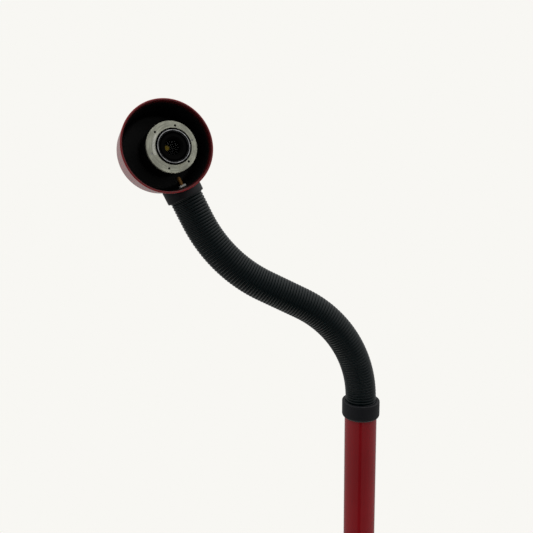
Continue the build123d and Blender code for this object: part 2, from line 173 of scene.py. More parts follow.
def shifted(matrix, x=0.0, y=0.0, z=0.0):
    """The same frame with its origin moved along its own axes."""
    moved = matrix.copy()
    moved[:3, 3] = matrix[:3, :3] @ np.array([x, y, z]) + matrix[:3, 3]
    return moved


NECK_END, NECK_UP = neck_line(np.array(NECK_LENGTH))
CAN_CENTRE = NECK_END + NECK_UP * COLLAR_REACH
TOWARD_VIEWER = -NECK_SIDE
CAN_AXIS = TOWARD_VIEWER * math.cos(CAN_TURN) + np.cross(NECK_UP, TOWARD_VIEWER) * math.sin(CAN_TURN)
CAN = frame_matrix(CAN_CENTRE, np.cross(NECK_UP, CAN_AXIS), CAN_AXIS)
FLANGE = shifted(CAN, *MODULE)
LENS = shifted(FLANGE, *LENS_SHIFT)
UPRIGHT = np.eye(4)


# ---------------------------------------------------------------- meshes
def put_mesh(name, points, faces, sharp_deg=32.0):
    """A mesh object at the origin, smooth shaded, with edges sharper than the angle kept sharp."""
    mesh = bpy.data.meshes.new(name)
    mesh.from_pydata(points.reshape(-1, 3).tolist(), [], faces.tolist())
    mesh.polygons.foreach_set("use_smooth", [True] * len(mesh.polygons))
    mesh.update()
    mesh.set_sharp_from_angle(angle=math.radians(sharp_deg))
    obj = bpy.data.objects.new(name, mesh)
    bpy.context.scene.collection.objects.link(obj)
    return obj


def grid_faces(rows, columns, closed=True, start=0):
    """Quads of a grid of points: row i runs round, and its last point joins its first if it is closed."""
    across = columns if closed else columns - 1
    i, j = np.meshgrid(np.arange(rows - 1), np.arange(across), indexing="ij")
    k = (j + 1) % columns
    quads = np.stack([i * columns + j, i * columns + k, (i + 1) * columns + k, (i + 1) * columns + j], -1)
    return quads.reshape(-1, 4) + start


def closing_faces(rows, columns):
    """Quads that join a closed grid's last row to its first, so that it closes in a ring."""
    j = np.arange(columns)
    k = (j + 1) % columns
    last = (rows - 1) * columns
    return np.stack([last + j, last + k, k, j], -1)


def place(matrix, points):
    """Points from a piece's own frame to the object's."""
    return points @ matrix[:3, :3].T + matrix[:3, 3]


def turned(name, matrix, profile, around=96, ripple=None, sharp_deg=32.0):
    """A lathe surface: each (radius, height) of the profile goes round the frame's Z axis.

    The profile runs with the material on its left, so the faces point outwards. A profile that
    starts and ends on the axis closes itself in a point, and one that returns to its start closes
    in a ring. ripple(radius, height, angle), if given, returns the radii round the circle.
    """
    profile = np.asarray(profile, float)
    ring = np.allclose(profile[0], profile[-1])
    if ring:
        profile = profile[:-1]
    angle = np.linspace(0, 2 * math.pi, around, endpoint=False)
    radius, height = profile[:, :1], profile[:, 1:]
    wide = np.broadcast_to(radius, (len(profile), around))
    tall = np.broadcast_to(height, (len(profile), around))
    if ripple is not None:
        wide = ripple(wide, tall, angle[None, :])
    points = np.stack([wide * np.cos(angle), wide * np.sin(angle), tall], -1)
    faces = grid_faces(len(profile), around)
    if ring:
        faces = np.concatenate([faces, closing_faces(len(profile), around)])
    points = place(matrix, points.reshape(-1, 3))
    obj = put_mesh(name, points, faces, sharp_deg)
    merge_doubles(obj)
    return obj


def merge_doubles(obj):
    """Joins points that lie together, as at the poles of a turned piece."""
    made = bmesh.new()
    made.from_mesh(obj.data)
    bmesh.ops.remove_doubles(made, verts=made.verts, dist=1e-7)
    bmesh.ops.dissolve_degenerate(made, edges=made.edges, dist=1e-8)
    made.to_mesh(obj.data)
    made.free()
    obj.data.polygons.foreach_set("use_smooth", [True] * len(obj.data.polygons))
    obj.data.update()


def rounded(corners, default=0.0, steps=6):
    """A profile with rounded corners: each corner is (radius, height, rounding).

    A rounding of size q cuts q off both sides of the corner and joins them by a quarter-like
    arc, a quadratic curve with the corner as its control point.
    """
    corners = [c if len(c) == 3 else (c[0], c[1], default) for c in corners]
    closed = corners[0][:2] == corners[-1][:2]
    if closed:
        corners = corners[:-1]
    out = []
    count = len(corners)
    for index, (r, z, q) in enumerate(corners):
        here = np.array([r, z])
        end = not closed and index in (0, count - 1)
        if q <= 0 or end:
            out.append(here)
            continue
        before = np.array(corners[index - 1][:2])
        after = np.array(corners[(index + 1) % count][:2])
        a = here + (before - here) / np.linalg.norm(before - here) * q
        b = here + (after - here) / np.linalg.norm(after - here) * q
        t = np.linspace(0, 1, steps)[:, None]
        out.extend(list((1 - t) ** 2 * a + 2 * t * (1 - t) * here + t ** 2 * b))
    if closed:
        out.append(out[0])
    return np.array(out)


def dense(profile, pitch):
    """The profile with extra points, so that no stretch is longer than the pitch."""
    out = [profile[0]]
    for a, b in zip(profile[:-1], profile[1:]):
        count = max(1, int(math.ceil(np.linalg.norm(b - a) / pitch)))
        out.extend(a + (b - a) * k / count for k in range(1, count + 1))
    return np.array(out)


# ---------------------------------------------------------------- shader helpers
class Value:
    """A socket's number, with arithmetic that adds Math nodes."""

    def __init__(self, shader, socket):
        self.shader, self.socket = shader, socket

    def math(self, operation, *others):
        return self.shader.node("ShaderNodeMath", {"operation": operation}, self, *others)

    def __add__(self, other):
        return self.math("ADD", other)

    __radd__ = __add__

    def __sub__(self, other):
        return self.math("SUBTRACT", other)

    def __rsub__(self, other):
        return self.shader.node("ShaderNodeMath", {"operation": "SUBTRACT"}, other, self)

    def __mul__(self, other):
        return self.math("MULTIPLY", other)

    __rmul__ = __mul__

    def __truediv__(self, other):
        return self.math("DIVIDE", other)

    def __pow__(self, other):
        return self.math("POWER", other)

    def step(self, low, high):
        """0 below low, 1 above high, smooth between."""
        settings = {"interpolation_type": "SMOOTHSTEP"}
        return self.shader.node("ShaderNodeMapRange", settings, self, low, high, 0.0, 1.0)


class NodeTree:
    """A node tree under construction: the one place that adds nodes and links."""

    def __init__(self, tree):
        self.tree = tree

    def node(self, kind, settings, *inputs, output=0, **named):
        """Adds a node: its settings are set first, then its inputs by order or by name."""
        made = self.tree.nodes.new(kind)
        for key, value in settings.items():
            setattr(made, key, value)
        for index, value in enumerate(inputs):
            self.feed(made.inputs[index], value)
        for key, value in named.items():
            self.feed(made.inputs[key.replace("_", " ")], value)
        return Value(self, made.outputs[output])

    def feed(self, socket, value):
        if isinstance(value, Value):
            self.tree.links.new(value.socket, socket)
        elif value is not None:
            socket.default_value = value


class Shader(NodeTree):
    """A material under construction, with its Principled BSDF."""

    def __init__(self, name):
        self.material = bpy.data.materials.new(name)
        self.material.use_nodes = True
        super().__init__(self.material.node_tree)
        self.bsdf = self.tree.nodes["Principled BSDF"]
        self.position = self.node("ShaderNodeTexCoord", {}, output="Object")

    def set(self, **values):
        """Sets or links sockets of the Principled BSDF; spaces are written as underscores."""
        for key, value in values.items():
            self.feed(self.bsdf.inputs[key.replace("_", " ")], value)
        return self

    def noise(self, scale, detail=3.0, roughness=0.5, where=None, stretch=None):
        """Noise from 0 to 1 over the surface; scale is in cells per metre."""
        where = where or self.position
        if stretch is not None:
            where = self.node("ShaderNodeVectorMath", {"operation": "MULTIPLY"}, where, stretch)
        return self.node("ShaderNodeTexNoise", {}, Vector=where, Scale=scale, Detail=detail,
                         Roughness=roughness, output="Fac")

    def mix(self, factor, a, b):
        """Colour a where the factor is 0, b where it is 1."""
        made = self.tree.nodes.new("ShaderNodeMix")
        made.data_type = "RGBA"
        self.feed(made.inputs[0], factor)
        self.feed(made.inputs[6], a)
        self.feed(made.inputs[7], b)
        return Value(self, made.outputs[2])

    def bump(self, height, depth, strength=1.0):
        """Surface relief: height from 0 to 1 raises the surface by depth metres."""
        made = self.node("ShaderNodeBump", {}, Height=height, Distance=depth, Strength=strength,
                         output="Normal")
        return self.set(Normal=made)

    def own_axes(self, matrix):
        """Coordinates in a piece's own frame: x, y, z, radius and angle as values."""
        moved = self.node("ShaderNodeVectorMath", {"operation": "SUBTRACT"}, self.position,
                          tuple(matrix[:3, 3]))
        x, y, z = (self.node("ShaderNodeVectorMath", {"operation": "DOT_PRODUCT"}, moved,
                             tuple(matrix[:3, k]), output="Value") for k in range(3))
        radius = (x * x + y * y) ** 0.5
        angle = y.math("ARCTAN2", x)
        return x, y, z, radius, angle

    def vector(self, x, y, z):
        return self.node("ShaderNodeCombineXYZ", {}, x, y, z)


def rgba(colour):
    return (*colour[:3], 1.0)


def darker(colour, share):
    return tuple(c * share for c in colour[:3])


def paint(obj, material):
    obj.data.materials.clear()
    obj.data.materials.append(material)


def dress(names, material):
    """Gives a material to CAD nodes that keep their own shape."""
    for name in names:
        paint(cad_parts[name], material)


def finish_piece(obj, body, slot, material, *nodes):
    """Paints a piece, lets it ride a body, and hides the nodes that it stands for; its slot is not used."""
    paint(obj, material)
    if body is not None:
        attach(obj, body)
    if nodes:
        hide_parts(*nodes)
    return obj


# ---------------------------------------------------------------- materials
def gloss_colour(s, colour):
    """Gloss paint's colour: slow drifts of tone with a few specks of dust. Returns colour and specks."""
    tone = s.noise(9.0, 3.0)
    fleck = s.noise(900.0, 2.0).step(0.66, 0.8)
    drift = s.mix(tone.step(0.3, 0.7), rgba(darker(colour, 0.86)), rgba(darker(colour, 1.08)))
    return s.mix(fleck * 0.08, drift, (0.28, 0.2, 0.19, 1.0)), fleck


def gloss_finish(s, fleck, matt=0.0):
    """Gloss paint's sheen and faint orange peel; matt from 0 to 1 takes the gloss off."""
    s.set(Roughness=0.09 + 0.08 * s.noise(60.0, 4.0, 0.6) + 0.12 * fleck + 0.5 * matt)
    s.set(Specular_IOR_Level=0.42)
    return s.bump(s.noise(260.0, 2.0, 0.4), 0.00001, 0.3)


def red_paint(props):
    """Hard red gloss paint on pole and legs."""
    s = Shader("red_gloss_paint")
    colour, fleck = gloss_colour(s, props.paint_colour)
    s.set(Base_Color=colour)
    return gloss_finish(s, fleck).material


def can_paint(props):
    """Red gloss outside, with a lighter red on the side wall behind the rim as painted light. Inside,
    darkened towards black, with the red near the rim fading out with depth as painted shade.
    """
    s = Shader("can_paint")
    _, _, z, radius, _ = s.own_axes(CAN)
    outer = CAN_RIM_R - (RIM_FORWARD - z) * CAN_TAPER
    inside = s.node("ShaderNodeAttribute", {"attribute_name": "inside_darkening"}, output="Fac").step(0.3, 0.9)
    # painted shade: the red inside fades to black with depth from the rim, standing in for the shade deeper
    # in the can
    depth_shade = (RIM_FORWARD - z).step(0.0, props.can_shade_depth)
    edge = (outer - radius).step(0.0006, 0.0016) * (z - RIM_FORWARD).step(-0.0060, -0.0030)
    # darkens the inside and the rim's inner edge towards black; the part that grows with depth is painted
    # shade
    inside_darkening = edge * 0.62 + inside * (0.62 * (1.0 - edge) + 0.38 * depth_shade)
    red, fleck = gloss_colour(s, props.paint_colour)
    side = (1.0 - inside) * (1.0 - (outer - radius).step(0.0004, 0.0040))
    # painted light: the outer side wall behind the rim takes a lighter copy of the red, standing in for the
    # brighter light on that side
    painted_side_light = (RIM_FORWARD - z).step(0.0008, 0.0030) * side
    red = s.mix(painted_side_light * 0.8, red, rgba(props.can_side_lit_colour))
    black = s.mix(s.noise(300.0, 3.0), (0.0003, 0.0004, 0.0005, 1.0), (0.0012, 0.0010, 0.0010, 1.0))
    s.set(Base_Color=s.mix(inside_darkening, red, black))
    return gloss_finish(s, fleck, inside_darkening).material


def conduit_plastic(props):
    """Black flexible plastic: satin ribs with a little dust and faint handling marks."""
    s = Shader("conduit_plastic")
    dust = s.noise(70.0, 4.0, 0.6).step(0.5, 0.8)
    grain = s.noise(1500.0, 3.0)
    base = s.mix(s.noise(25.0, 2.0), rgba(darker(props.conduit_colour, 0.8)), rgba(props.conduit_colour))
    s.set(Base_Color=s.mix(dust * 0.2, base, (0.020, 0.021, 0.022, 1.0)))
    s.set(Roughness=0.17 + 0.10 * dust + 0.05 * grain, Specular_IOR_Level=0.20)
    s.bump(grain, 0.00001, 0.5)
    return s.material


def moulded_plastic(name, colour, roughness=0.40, scale=1100.0):
    """Moulded plastic with a fine spark-eroded grain and slow changes of sheen."""
    s = Shader(name)
    grain = s.noise(scale, 4.0, 0.6)
    cloud = s.noise(35.0, 3.0)
    s.set(Base_Color=s.mix(cloud.step(0.3, 0.7), rgba(darker(colour, 0.75)), rgba(darker(colour, 1.2))))
    s.set(Roughness=roughness + 0.10 * cloud + 0.08 * grain, Specular_IOR_Level=0.26)
    s.bump(grain, 0.00004, 0.5)
    return s.material


def turned_aluminium(props):
    """Bare aluminium faced on a lathe: fine rings round the lens, a cloudy film, and a painted glint. The
    glint is a set of near-white streaks in an arc near the bore at the upper left, standing in for a
    highlight.
    """
    s = Shader("turned_aluminium")
    _, _, _, radius, angle = s.own_axes(LENS)
    rings = s.noise(1.0, 3.0, 0.7, where=s.vector(radius * 3400.0, angle * 1.1, 0.0))
    wide = s.noise(1.0, 2.0, 0.5, where=s.vector(radius * 900.0, angle * 1.6, 4.0))
    film = s.noise(150.0, 4.0, 0.65)
    stain = s.noise(60.0, 3.0, 0.6)
    base = props.flange_colour
    colour = s.mix(film.step(0.35, 0.65), rgba(darker(base, 0.70)), rgba(base))
    colour = s.mix(wide.step(0.42, 0.62) * 0.75, colour, rgba(darker(base, 0.58)))
    colour = s.mix(rings.step(0.5, 0.7) * 0.4, colour, rgba(darker(base, 0.50)))
    colour = s.mix(stain.step(0.55, 0.75) * 0.6, colour, (0.30, 0.29, 0.19, 1.0))
    # painted highlight: near-white streaks in an arc near the bore, standing in for a glint on the metal
    painted_glint_streaks = s.noise(700.0, 3.0, 0.7, where=s.vector(radius * 800.0, angle * 9.0, 2.0)).step(0.48, 0.58)
    band = radius.step(0.0168, 0.0178) * (1.0 - radius.step(0.0186, 0.0202))
    arc = 1.0 - (angle - GLINT_ANGLE).math("ABSOLUTE").step(0.45, 0.95)
    bright = painted_glint_streaks * band * arc
    # where bright is high, the near-white colour and lower metallic paint the glint
    s.set(Base_Color=s.mix(bright * 0.95, colour, (1.0, 0.99, 0.95, 1.0)), Metallic=1.0 - 0.6 * bright)
    s.set(Roughness=0.42 + 0.18 * film - 0.16 * bright)
    s.bump(rings * 0.6 + wide * 0.4, 0.00004, 0.9)
    return s.material


def metal(name, colour, roughness=0.3, scale=600.0, streak=None):
    """Plain metal with fine scratches and a slow cloud of tarnish."""
    s = Shader(name)
    cloud = s.noise(160.0, 4.0, 0.6)
    scratch = s.noise(scale, 3.0, 0.6, stretch=streak or (1.0, 1.0, 6.0))
    s.set(Base_Color=s.mix(cloud.step(0.3, 0.8), rgba(colour), rgba(darker(colour, 0.72))), Metallic=1.0)
    s.set(Roughness=roughness + 0.15 * cloud + 0.08 * scratch)
    s.bump(scratch, 0.00001, 0.5)
    return s.material


def black_anodised():
    """Black anodised aluminium: satin, with a cloud of slightly browner dye."""
    s = Shader("black_anodised")
    grain = s.noise(1600.0, 3.0)
    cloud = s.noise(140.0, 3.0)
    s.set(Base_Color=s.mix(cloud, (0.0016, 0.0016, 0.0018, 1.0), (0.0040, 0.0036, 0.0034, 1.0)))
    s.set(Roughness=0.34 + 0.14 * cloud + 0.08 * grain, Specular_IOR_Level=0.3)
    s.bump(grain, 0.00001, 0.5)
    return s.material


def flocked_black():
    """Flocked black of the lens bore: dead matt, with a faint fibre mottle."""
    s = Shader("flocked_black")
    fibre = s.noise(2500.0, 4.0, 0.7)
    s.set(Base_Color=s.mix(fibre, (0.0026, 0.0027, 0.0028, 1.0), (0.0070, 0.0068, 0.0066, 1.0)))
    s.set(Roughness=0.7 + 0.2 * fibre, Specular_IOR_Level=0.0)
    s.bump(fibre, 0.00003, 0.6)
    return s.material


def front_ring_finish():
    """Black dye on the front ring, worn to bright metal at its crest, and faintly at the next step."""
    s = Shader("bright_ring")
    _, _, _, radius, angle = s.own_axes(LENS)
    crest = radius.step(0.01432, 0.01446) * (1.0 - radius.step(0.01494, 0.01506))
    step_edge = radius.step(0.01328, 0.01338) * (1.0 - radius.step(0.01372, 0.01384))
    wear = s.noise(1.0, 3.0, 0.6, where=s.vector(radius * 300.0, angle * 2.0, 0.0)).step(0.25, 0.6)
    bright = crest * (0.20 + 0.50 * wear) + step_edge * 0.06 * wear
    s.set(Base_Color=s.mix(bright, (0.0016, 0.0016, 0.0018, 1.0), (0.80, 0.81, 0.82, 1.0)))
    s.set(Metallic=bright, Roughness=0.50 - 0.3 * bright + 0.05 * wear, Specular_IOR_Level=0.0)
    return s.material


def lens_glass():
    """Coated glass: nearly clear, with a cool bloom that deepens towards the edge."""
    s = Shader("coated_glass")
    _, _, _, radius, _ = s.own_axes(LENS)
    bloom = s.mix(radius.step(0.0, 0.0085), (0.42, 0.43, 0.46, 1.0), (0.26, 0.27, 0.31, 1.0))
    s.set(Base_Color=bloom, Transmission_Weight=1.0, IOR=1.12)
    s.set(Roughness=0.01 + 0.01 * s.noise(500.0, 3.0))
    return s.material


def painted_amber_glass():
    """Rear element: almost black, with a painted amber reflection to one side of the axis that also glows. It
    is a painted highlight and glow standing in for a warm lamp's reflection in the glass.
    """
    s = Shader("painted_amber_reflection")
    x, y, _, radius, _ = s.own_axes(LENS)
    across, up = x - AMBER_REFLECTION[0], y - AMBER_REFLECTION[1]
    away = (across * across + up * up) ** 0.5
    tone = s.noise(650.0, 3.0)
    # painted reflection: a round amber patch off the axis, standing in for a warm lamp's reflection
    painted_reflection = 1.0 - (away + tone * 0.0006).step(AMBER_REFLECTION_R * 0.75, AMBER_REFLECTION_R * 1.25)
    rings = (radius * 6500.0).math("SINE").step(0.55, 1.0)
    dark = s.mix(rings, (0.0012, 0.0012, 0.0016, 1.0), (0.006, 0.0045, 0.0035, 1.0))
    s.set(Base_Color=s.mix(painted_reflection, dark, s.mix(tone, (0.16, 0.08, 0.01, 1.0), (0.30, 0.19, 0.04, 1.0))))
    s.set(Roughness=0.5 + 0.1 * tone, Specular_IOR_Level=0.0)
    # painted glow: the amber patch emits light, though nothing here is a lamp
    painted_glow = s.mix(tone, (0.10, 0.065, 0.004, 1.0), (0.22, 0.16, 0.020, 1.0))
    s.set(Emission_Color=s.mix(painted_reflection, (0.0, 0.0, 0.0, 1.0), painted_glow), Emission_Strength=1.0)
    return s.material


def white_nylon():
    """Natural nylon: white with a faint mottled skin."""
    s = Shader("white_nylon")
    mottle = s.noise(700.0, 4.0, 0.6)
    s.set(Base_Color=s.mix(mottle, (0.50, 0.50, 0.47, 1.0), (0.76, 0.77, 0.74, 1.0)))
    s.set(Roughness=0.38 + 0.12 * mottle)
    s.bump(mottle, 0.00003, 0.5)
    return s.material


def soft_rubber():
    """Matt black rubber with a dusty bloom."""
    s = Shader("foot_rubber")
    bloom = s.noise(90.0, 4.0, 0.6).step(0.35, 0.75)
    grain = s.noise(1300.0, 3.0)
    s.set(Base_Color=s.mix(bloom, (0.008, 0.008, 0.008, 1.0), (0.028, 0.027, 0.026, 1.0)))
    s.set(Roughness=0.72 + 0.15 * bloom)
    s.bump(grain, 0.00006, 0.6)
    return s.material


def cast_coat():
    """Black powder coat on a casting: a pebbled skin over soft unevenness."""
    s = Shader("cast_powder_coat")
    pebble = s.noise(800.0, 3.0, 0.55)
    swell = s.noise(90.0, 2.0)
    s.set(Base_Color=s.mix(swell, (0.008, 0.008, 0.009, 1.0), (0.018, 0.018, 0.020, 1.0)))
    s.set(Roughness=0.46 + 0.16 * pebble)
    s.bump(pebble * 0.6 + swell * 0.4, 0.00012, 0.6)
    return s.material


def circuit_board():
    """Green solder mask over copper tracks: darker ground with lighter squared-off lines."""
    s = Shader("circuit_board")
    x, y, _, _, _ = s.own_axes(FLANGE)
    tracks = ((x * 2600.0).math("SINE") * (y * 2600.0).math("SINE")).step(0.1, 0.3)
    s.set(Base_Color=s.mix(tracks, (0.008, 0.08, 0.03, 1.0), (0.02, 0.16, 0.06, 1.0)))
    s.set(Roughness=0.3 + 0.15 * s.noise(400.0))
    s.bump(tracks, 0.00003, 0.8)
    return s.material


def dark_cover():
    """The sensor's dark cover glass over a faint grid."""
    s = Shader("sensor_cover")
    x, y, _, _, _ = s.own_axes(LENS)
    grid = ((x * 9000.0).math("SINE") * (y * 9000.0).math("SINE")).step(0.0, 0.5)
    s.set(Base_Color=s.mix(grid, (0.01, 0.01, 0.02, 1.0), (0.05, 0.03, 0.07, 1.0)))
    s.set(Roughness=0.06 + 0.04 * s.noise(300.0))
    return s.material


# ---------------------------------------------------------------- properties
class WebcamColours(bpy.types.PropertyGroup):
    paint_colour: bpy.props.FloatVectorProperty(
        name="Paint", description="Colour of the gloss paint on can, pole and legs",
        default=(0.285, 0.0090, 0.0140), size=3, min=0.0, max=1.0, subtype="COLOR")
    conduit_colour: bpy.props.FloatVectorProperty(
        name="Conduit", description="Colour of the ribbed gooseneck",
        default=(0.0004, 0.0046, 0.0056), size=3, min=0.0, max=1.0, subtype="COLOR")
    collar_colour: bpy.props.FloatVectorProperty(
        name="Collars", description="Colour of the moulded collars",
        default=(0.0044, 0.0054, 0.0076), size=3, min=0.0, max=1.0, subtype="COLOR")
    flange_colour: bpy.props.FloatVectorProperty(
        name="Flange", description="Colour of the bare aluminium flange",
        default=(0.56, 0.57, 0.47), size=3, min=0.0, max=1.0, subtype="COLOR")
    # painted light: a lighter copy of the paint for the can's side wall, standing in for the light on it
    can_side_lit_colour: bpy.props.FloatVectorProperty(
        name="Can side", description="Colour of the can's side, behind its rim",
        default=(0.43, 0.020, 0.018), size=3, min=0.0, max=1.0, subtype="COLOR")
    # painted shade: the depth over which the red inside the can fades to black
    can_shade_depth: bpy.props.FloatProperty(
        name="Red depth", description="How far the red reaches into the can before the lining is black",
        default=0.009, min=0.0, max=0.05, unit="LENGTH", subtype="DISTANCE")
    backdrop_colour: bpy.props.FloatVectorProperty(
        name="Backdrop", description="Colour of the studio's backdrop and floor",
        default=(0.939, 0.930, 0.896), size=3, min=0.0, max=1.0, subtype="COLOR")


class GooseneckSizes(bpy.types.PropertyGroup):
    rib_pitch: bpy.props.FloatProperty(
        name="Rib pitch", description="Distance from one rib of the conduit to the next",
        default=0.003, min=0.001, max=0.01, unit="LENGTH", subtype="DISTANCE")
    rib_depth: bpy.props.FloatProperty(
        name="Rib depth", description="Depth of the grooves between the ribs",
        default=0.0010, min=0.0, max=0.003, unit="LENGTH", subtype="DISTANCE")
    radius: bpy.props.FloatProperty(
        name="Radius", description="Radius over the ribs",
        default=0.0161, min=0.005, max=0.03, unit="LENGTH", subtype="DISTANCE")
    points_per_rib: bpy.props.IntProperty(
        name="Points per rib", description="Rings of points along each rib",
        default=10, min=4, max=16)


def colours():
    return bpy.context.scene.webcam_colours


def neck_sizes():
    return bpy.context.scene.gooseneck_sizes


# ---------------------------------------------------------------- operators
class WEBCAM_OT_gooseneck(bpy.types.Operator):
    """Ribbed gooseneck, one sleeve over each hinge"""
    bl_idname = "webcam.gooseneck"
    bl_label = "Gooseneck"

    def execute(self, context):
        material = conduit_plastic(colours())
        hinges = FIRST_HINGE + HINGE_PITCH * np.arange(HINGE_COUNT)
        between = hinges[:-1] + HINGE_PITCH / 2
        seams = np.concatenate([[SLEEVE_START], between, [NECK_LENGTH + SLEEVE_PAST_END]])
        for i in range(HINGE_COUNT):
            obj = ribbed_sleeve(f"gooseneck_{i + 1}", seams[i], seams[i + 1], neck_sizes())
            nodes = [f"conduit_{i + 1}"] + (["conduit_9"] if i == HINGE_COUNT - 1 else [])
            finish_piece(obj, None, "black_conduit", material, *nodes)
            low = max(seams[i], hinges[i] - HINGE_PITCH / 2)
            high = min(seams[i + 1], hinges[i] + HINGE_PITCH / 2)
            start, end = neck_line(np.array(low))[0], neck_line(np.array(high))[0]
            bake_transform(obj)
        return {"FINISHED"}


def ribbed_sleeve(name, start, end, sizes):
    """A ribbed tube along the neck's line.

    At each distance s and angle a, the point is the line's point plus a radius times the
    direction at angle a in the plane square to the line. Across each rib, u from -1 to 1, the
    radius is the crest radius less the groove depth times 1 - (1 - |u|^2.4)^0.6, so the grooves
    are narrow creases. A plain bore closes the wall.
    """
    step = sizes.rib_pitch / sizes.points_per_rib
    s = np.arange(math.floor(start / step), math.ceil(end / step) + 1) * step
    s = np.concatenate([[start], s[(s > start + 0.3 * step) & (s < end - 0.3 * step)], [end]])
    points, along = neck_line(s)
    phase = (s - FIRST_HINGE - HINGE_PITCH / 2) / sizes.rib_pitch
    across = 2 * (phase - np.floor(phase)) - 1
    radius = sizes.radius - sizes.rib_depth * (1 - (1 - np.minimum(np.abs(across), 1) ** 2.4) ** 0.6)
    side = np.broadcast_to(NECK_SIDE, along.shape)
    other = np.cross(along, side)
    angle = np.linspace(0, 2 * math.pi, NECK_POINTS_ROUND, endpoint=False)
    wheel = side[:, None, :] * np.cos(angle)[None, :, None] + other[:, None, :] * np.sin(angle)[None, :, None]
    outer = points[:, None, :] + radius[:, None, None] * wheel
    inner = (points[:, None, :] + CONDUIT_BORE_R * wheel)[::-4]
    grid = np.concatenate([outer, inner])
    faces = np.concatenate([grid_faces(len(grid), len(angle)), closing_faces(len(grid), len(angle))])
    return put_mesh(name, grid, faces, sharp_deg=55.0)


class WEBCAM_OT_can(bpy.types.Operator):
    """Round can with a rolled rim"""
    bl_idname = "webcam.can"
    bl_label = "Can"

    def execute(self, context):
        rim, back_r = CAN_RIM_R - SKIN_GAP, CAN_BACK_R - SKIN_GAP
        back_z = RIM_FORWARD - CAN_DEPTH
        outside = [(0.0, back_z, 0), (back_r, back_z, 0.0065), (rim, RIM_FORWARD, 0.0009)]
        inside = [(rim - CAN_WALL, RIM_FORWARD, 0.0009), (back_r - CAN_WALL, back_z + CAN_WALL, 0.005),
                  (0.0, back_z + CAN_WALL, 0)]
        profile = rounded(outside + inside, steps=9)
        obj = turned("can_shell", CAN, dense(profile, 0.003), around=160)
        mark_inside(obj, CAN, profile)
        finish_piece(obj, "head", "red_paint", can_paint(colours()), "head_shell")
        return {"FINISHED"}


def mark_inside(obj, matrix, profile):
    """A point attribute, 0 outside and 1 inside: whichever half of the profile a point lies nearer to.

    The profile is parted where its height is greatest and its radius least, at the rim's inner edge.
    """
    top = np.flatnonzero(profile[:, 1] > profile[:, 1].max() - 1e-6)
    parting = top[np.argmin(profile[top, 0])]
    halves = [dense(half, 0.0004) for half in (profile[:parting + 1], profile[parting + 1:])]
    points = np.empty(len(obj.data.vertices) * 3, dtype=np.float32)
    obj.data.vertices.foreach_get("co", points)
    local = (points.reshape(-1, 3) - matrix[:3, 3]) @ matrix[:3, :3]
    where = np.stack([np.hypot(local[:, 0], local[:, 1]), local[:, 2]], -1)
    gaps = [np.linalg.norm(where[:, None, :] - half[None], axis=-1).min(axis=1) for half in halves]
    inside_darkening = obj.data.attributes.new("inside_darkening", "FLOAT", "POINT")
    inside_darkening.data.foreach_set("value", (gaps[1] < gaps[0]).astype(np.float32))


class WEBCAM_OT_collars(bpy.types.Operator):
    """Moulded black collars at both ends of the gooseneck"""
    bl_idname = "webcam.collars"
    bl_label = "Collars"

    def execute(self, context):
        plastic = moulded_plastic("collar_plastic", colours().collar_colour)
        lower = frame_matrix((0, 0, COLLAR_BASE), (1, 0, 0), (0, 0, 1))
        corners = [
            (COLLAR_TUBE_R, 0.0, 0.0004), (LOWER_COLLAR_R, 0.0, 0.0034),
            (LOWER_COLLAR_R, LOWER_COLLAR_HEIGHT, 0.0013), (COLLAR_MOUTH_R, LOWER_COLLAR_HEIGHT, 0.0005),
            (COLLAR_MOUTH_R, COLLAR_SHELF, 0), (COLLAR_TUBE_R, COLLAR_SHELF, 0),
            (COLLAR_TUBE_R, 0.0, 0.0004),
        ]
        obj = turned("lower_collar_cup", lower, dense(rounded(corners), 0.002), around=128)
        finish_piece(obj, "pole", "black_plastic", plastic, "lower_collar")
        upper = frame_matrix(CAN_CENTRE, CAN_AXIS, -NECK_UP)
        obj = saddle_collar("upper_collar_cup", upper)
        finish_piece(obj, "head", "black_plastic", plastic, "upper_collar")
        return {"FINISHED"}


def saddle_collar(name, matrix):
    """A short tube that ends on the can's side.

    The tube's own Z runs down the neck from the can's axis. Round the tube, at angle a, the
    outer wall starts where the can's cone has the radius r: at the height whose square is r
    squared less the square of the sideways offset, and runs down to the rounded mouth. Inside
    the can's wall the same heights at smaller radii close the top.
    """
    angle = np.linspace(0, 2 * math.pi, 128, endpoint=False)
    outer, inner = UPPER_COLLAR_R, COLLAR_MOUTH_R
    forward, sideways = np.cos(angle), np.sin(angle)

    def can_height(radius):
        reach = CAN_RIM_R - CAN_TAPER * (RIM_FORWARD - radius * forward)
        return np.sqrt(reach ** 2 - (radius * sideways) ** 2) - 0.0006

    mouth = rounded([(outer, 0.0, 0), (outer, COLLAR_REACH, 0.0012), (inner, COLLAR_REACH, 0.0005),
                     (inner, COLLAR_REACH - 0.006, 0), (0.004, COLLAR_REACH - 0.006, 0)])[1:]
    top = can_height(outer)
    rows = [np.stack([outer * forward, outer * sideways, top], -1)]
    for t in np.linspace(0, 1, 8)[1:-1]:
        z = top * (1 - t) + mouth[0, 1] * t
        rows.append(np.stack([outer * forward, outer * sideways, z], -1))
    for radius, height in mouth:
        rows.append(np.stack([radius * forward, radius * sideways, np.full_like(angle, height)], -1))
    for radius in np.linspace(0.004, outer, 9)[:-1]:
        rows.append(np.stack([radius * forward, radius * sideways, can_height(radius)], -1))
    grid = np.array(rows)
    faces = np.concatenate([grid_faces(len(rows), len(angle)), closing_faces(len(rows), len(angle))])
    return put_mesh(name, place(matrix, grid.reshape(-1, 3)), faces)


